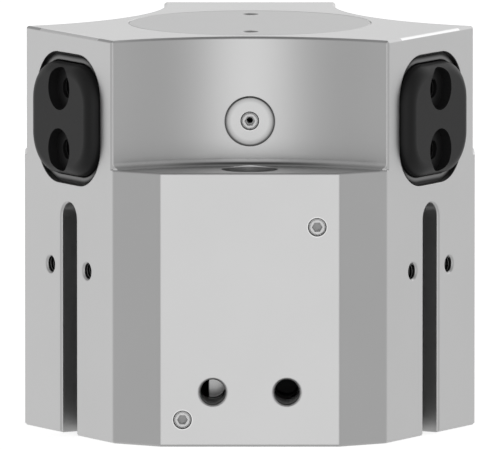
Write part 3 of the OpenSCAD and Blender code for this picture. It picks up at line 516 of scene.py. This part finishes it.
thread_tree = bpy.data.node_groups.new("tapped_thread", "GeometryNodeTree")
thread_inputs = {}
for label, kind in (("Holes", "NodeSocketGeometry"), ("Radius", "NodeSocketFloat"),
                    ("Pitch", "NodeSocketFloat"), ("Turns", "NodeSocketFloat"),
                    ("Ridge", "NodeSocketFloat"), ("Finish", "NodeSocketMaterial")):
    socket = thread_tree.interface.new_socket(label, in_out="INPUT", socket_type=kind)
    thread_inputs[label] = socket.identifier
thread_tree.interface.new_socket("Threads", in_out="OUTPUT", socket_type="NodeSocketGeometry")
given = thread_tree.nodes.new("NodeGroupInput").outputs
gives = thread_tree.nodes.new("NodeGroupOutput").inputs
# The ridge's outline is an even triangle, as on a metric thread, and points inward. Its foot stays
# a few hundredths of a millimetre clear of the hole's wall, so that the two never share a face.
outline = add(thread_tree, "GeometryNodeCurvePrimitiveCircle", {"mode": "RADIUS"}, Resolution=3,
              Radius=product(thread_tree, given["Ridge"], 2 / 3))
inset_share = 0.6
inset = product(thread_tree, given["Ridge"], inset_share)
middle = sum_of(thread_tree, "SUBTRACT", given["Radius"], inset)
spiral = add(thread_tree, "GeometryNodeCurveSpiral", Resolution=24, Rotations=given["Turns"],
             Start_Radius=middle, End_Radius=middle,
             Height=product(thread_tree, given["Pitch"], given["Turns"]))
upright = add(thread_tree, "GeometryNodeSetCurveNormal", {"mode": "Z_UP"}, Curve=spiral.outputs[0])
ridge = add(thread_tree, "GeometryNodeCurveToMesh", Curve=upright.outputs[0],
            Profile_Curve=outline.outputs[0], Fill_Caps=True)
facing = add(thread_tree, "GeometryNodeInputNamedAttribute", {"data_type": "FLOAT_VECTOR"}, Name="inward")
turned = add(thread_tree, "FunctionNodeAlignRotationToVector", {"axis": "Z"}, Vector=facing.outputs[0])
each = add(thread_tree, "GeometryNodeInstanceOnPoints", Points=given["Holes"], Instance=ridge.outputs[0],
           Rotation=turned.outputs[0])
real = add(thread_tree, "GeometryNodeRealizeInstances", Geometry=each.outputs[0])
done = add(thread_tree, "GeometryNodeSetMaterial", Geometry=real.outputs[0], Material=given["Finish"])
thread_tree.links.new(done.outputs[0], gives["Threads"])


def tapped(name, body, finish, holes, radius, pitch, turns, ridge):
    """Threads of one size in holes given by the first turn's place and the way into the metal."""
    seeds = bpy.data.meshes.new(name)
    seeds.from_pydata([tuple(first_turn) for first_turn, _ in holes], [], [])
    way = seeds.attributes.new("inward", "FLOAT_VECTOR", "POINT")
    way.data.foreach_set("vector", [value for _, inward in holes for value in inward])
    threads = bpy.data.objects.new(name, seeds)
    bpy.context.scene.collection.objects.link(threads)
    modifier = threads.modifiers.new("threads", "NODES")
    modifier.node_group = thread_tree
    for label, value in (("Radius", radius), ("Pitch", pitch), ("Turns", turns), ("Ridge", ridge),
                         ("Finish", finish)):
        modifier[thread_inputs[label]] = value
    seen = threads.evaluated_get(bpy.context.evaluated_depsgraph_get())
    mesh = bpy.data.meshes.new_from_object(seen)
    threads.modifiers.remove(modifier)
    threads.data = mesh
    mesh.name = name
    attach(threads, body)


def pair_of(mount, side, sunk):
    """The two holes of a pattern along a way square to its axis, each sunk that far from its place."""
    inward = -Vector(mount["axis"])
    across = Vector(side) * mount["dims"]["pcd_mm"] / 2000
    return [(Vector(mount["pos_m"]) + across * sign + inward * sunk, inward) for sign in (-1, 1)]


# the dark colour and corner shade of the thread flanks paint the shade inside the holes
tapped_flank = metal("tapped_aluminium", grey(0.28), 0.35, corner_shade_share=0.7, wear=0.1)
port_lead = 0.0009
port_holes = []
for name in ("left_air_port", "right_air_port"):
    port = mounts[name]
    first_turn = Vector((port["pos_m"][0], port_face + port_lead, port["pos_m"][2]))
    port_holes.append((first_turn, -Vector(port["axis"])))
tapped("port_threads", "gripper_body", tapped_flank, port_holes, radius=0.0021, pitch=0.0008, turns=8.0,
       ridge=0.0001)

m3_thread = {"radius": 0.00125, "pitch": 0.0005, "ridge": 0.00014}
bracket_lead = 0.0004
bracket_holes = []
for number in (1, 2, 3):
    mount = mounts[f"slot_{number}_bracket"]
    across = Vector((-mount["axis"][1], mount["axis"][0], 0))
    sunk = Vector(mount["pos_m"]).xy.length - (arm_face - bracket_lead)
    bracket_holes += pair_of(mount, across, sunk)
tapped("bracket_threads", "gripper_body", tapped_flank, bracket_holes, turns=8.0, **m3_thread)


# ---- Rod bush ----
# A sintered bronze bush guides the piston rod between the two chambers. It is pressed into the
# housing, and its pores hold oil.

bronze = metal("sintered_bronze", (0.42, 0.24, 0.12), 0.4, bead=1500.0, bump=0.3, wear=0.4,
               wear_and_shade_color=(0.6, 0.38, 0.2))
dress(["rod_bush"], bronze)


# ---- Seal rings and bumpers ----
# Cord rings and lip seals of nitrile rubber, moulded matt, and two punched rubber bumpers
# that soften the piston's ends of travel.

nitrile = metal("nitrile_rubber", grey(0.022), 0.6, metallic=0.0, wear=0.0, bead=2500.0, bump=0.2,
                corner_shade_share=0.15, corner_shade_color=grey(0.01))
dress(["cover_seal_ring", "base_cap_seal_ring", "rod_seal", "upper_bumper", "lower_bumper",
       "piston_seals"], nitrile)


# ---- Piston ----
# Two turned aluminium halves clamp a sintered magnet ring between them, and carry a wear ring
# of filled plastic. A hexagon nut of zinc-plated steel draws them onto the rod.

piston_aluminium = metal("piston_aluminium", grey(0.62), 0.3, marks="turned", pitch=0.0001)
dress(["piston_lower_half", "piston_upper_half"], piston_aluminium)
magnet = metal("sintered_magnet", (0.05, 0.05, 0.055), 0.6, metallic=0.0, bead=1200.0, bump=0.3, wear=0.0)
dress(["magnet_ring"], magnet)
filled_plastic = metal("filled_plastic", (0.05, 0.09, 0.05), 0.5, metallic=0.0, bead=1800.0, bump=0.15,
                       wear=0.0)
dress(["wear_ring"], filled_plastic)
plated_steel = metal("zinc_plated_steel", (0.55, 0.56, 0.58), 0.3, wear=0.4)
dress(["piston_nut"], plated_steel)


# ---- Jaws ----
# Three jaws of hardened steel, milled, ground on their guide faces and blackened. Each has two
# centring bores with M4 threads for the fingers that the user screws on.

black_steel = metal("blackened_steel", (0.016, 0.016, 0.0163), 0.42, metallic=0.0, wear=0.25,
                    wear_and_shade_color=(0.035, 0.035, 0.036), corner_shade_share=0.25, corner_shade_color=grey(0.006), reach=0.003,
                    bead=3000.0, bump=0.1)
black_steel.node_tree.nodes["Principled BSDF"].inputs["Specular IOR Level"].default_value = 0.2
dress(["jaw_1", "jaw_2", "jaw_3"], black_steel)
finger_lead = 0.0018
for number, body in ((1, "back_jaw"), (2, "left_jaw"), (3, "right_jaw")):
    mount = mounts[f"jaw_{number}_screws"]
    jaw_face = Vector(mounts[f"jaw_{number}_face"]["pos_m"]).xy.length
    sunk = Vector(mount["pos_m"]).xy.length - (jaw_face - finger_lead)
    tapped(f"{body}_threads", body, black_steel, pair_of(mount, (0, 0, 1), sunk), radius=0.00165,
           pitch=0.0007, turns=10.0, ridge=0.0002)


# ---- Rod, wedge hook and its screw ----
# The rod is ground and hard chromed. The wedge hook is milled from tool steel, hardened and
# ground on its slanting faces, and a blackened socket screw ties it to the rod.

chromed = metal("chromed_rod_steel", (0.6, 0.6, 0.62), 0.15, marks="ground", pitch=0.00005, mark_bump=0.05)
dress(["piston_rod"], chromed)
tool_steel = metal("ground_tool_steel", (0.4, 0.4, 0.41), 0.28, marks="ground", pitch=0.00015)
dress(["wedge_hook"], tool_steel)
dress(["wedge_screw"], black_steel)


# ---- Wiper seals and their frames ----
# A wiper of black nitrile rubber fills the pocket round each jaw, and a frame stamped from
# stainless sheet, pressed in flush, holds its lip against the jaw.

dress(["jaw_seal_1", "jaw_seal_2", "jaw_seal_3"], nitrile)
# the frame's edges turn evenly dark all round as painted edge shade, and its hollows get painted corner
# shade
frame_steel = metal("stamped_frame_steel", grey(0.2), 0.38, wear=0.85, wear_and_shade_color=grey(0.04),
                    corner_shade_share=0.7, start=0.8, reach=0.002, even=0.8)
dress(["seal_frame_1", "seal_frame_2", "seal_frame_3"], frame_steel)

# painted shade darkens each frame's outer rim; the mask grows from Inner to Outer, both counted from the
# middle of the frame's round corner
frame_corner = 0.0069
rim_width = 0.0006
inside_arm = 0.025
frame_low, frame_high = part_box("seal_frame_1")
frame_middle = (frame_low[2] + frame_high[2]) / 2
straight_side = (frame_high[0] - frame_low[0]) / 2 - frame_corner
straight_end = (frame_high[2] - frame_low[2]) / 2 - frame_corner
frame_rim_shade, given, gives = new_group(
    "frame_rim_shade", {"Place": None, "Inner": frame_corner - rim_width, "Outer": frame_corner}, ["Rim"])
height = add(frame_rim_shade, "ShaderNodeSeparateXYZ", i0=given["Place"]).outputs[2]
beyond = sum_of(frame_rim_shade, "ABSOLUTE", sum_of(frame_rim_shade, "SUBTRACT", height, frame_middle))
past_end = sum_of(frame_rim_shade, "MAXIMUM", sum_of(frame_rim_shade, "SUBTRACT", beyond, straight_end), 0.0)
rim_shades = []
for arm_angle in (90, 210, 330):
    outward, sideways = ways_at(arm_angle)
    beside = sum_of(frame_rim_shade, "ABSOLUTE", along(frame_rim_shade, given["Place"], sideways))
    past_side = sum_of(frame_rim_shade, "MAXIMUM", sum_of(frame_rim_shade, "SUBTRACT", beside, straight_side), 0.0)
    toward_rim_edge = ramp(frame_rim_shade, length_of(frame_rim_shade, past_side, past_end), given["Inner"], given["Outer"],
                  curve="SMOOTHSTEP")
    on_arm = sum_of(frame_rim_shade, "GREATER_THAN", along(frame_rim_shade, given["Place"], outward), inside_arm)
    rim_shades.append(product(frame_rim_shade, toward_rim_edge, on_arm))
frame_rim_shade.links.new(largest(frame_rim_shade, rim_shades), gives["Rim"])
tree = frame_steel.node_tree
place = add(tree, "ShaderNodeTexCoord").outputs["Object"]
rim = add(tree, "ShaderNodeGroup", {"node_tree": frame_rim_shade}, Place=place).outputs["Rim"]
# paints the shade on each frame's outer rim
overlay(frame_steel, rim, grey(0.01))


# ---- Top cover and base cap ----
# Two plates turned from aluminium bar and clear anodised: the cover is pressed into its seat on
# a seal ring, and the cap is held by a spring ring. Their faces show the lathe's fine rings.

turned_aluminium = metal("turned_aluminium", grey(0.545), 0.36, marks="turned", pitch=0.00012, corner_shade_share=0.7,
                         reach=0.002)
dress(["top_cover", "base_cap"], turned_aluminium)
cover_threads = mounts["cover_threads"]
cover_lead = 0.0003
cover_holes = pair_of(cover_threads, (0, 1, 0), cover_threads["pos_m"][2] - (cover_high[2] - cover_lead))
tapped("cover_hole_threads", "gripper_body", tapped_flank, cover_holes, turns=3.0, **m3_thread)


# ---- Spring ring of the base cap ----
# An inner retaining ring stamped from spring steel and phosphated dark grey. It snaps into
# the groove of the housing, and its two ears take the pliers.

spring_steel = metal("phosphated_spring_steel", (0.09, 0.09, 0.095), 0.45, wear=0.5, wear_and_shade_color=grey(0.4))
dress(["base_spring_ring"], spring_steel)


# ---- Set screws, nozzles and plugs ----
# Small stainless set screws close the cross drillings and the ducts; the ones in the concave
# walls are bored through as nozzles for sealing air. They are turned, with pressed hexagons.

screw_steel = metal("stainless_screw_steel", grey(0.76), 0.32, metallic=0.5, corner_shade_share=0.5, reach=0.0015,
                    start=0.62, full=0.1, wear=0.5, wear_and_shade_color=grey(0.8))
dress(["duct_plug_screws", "base_duct_plugs", "wall_nozzle_screws"], screw_steel)
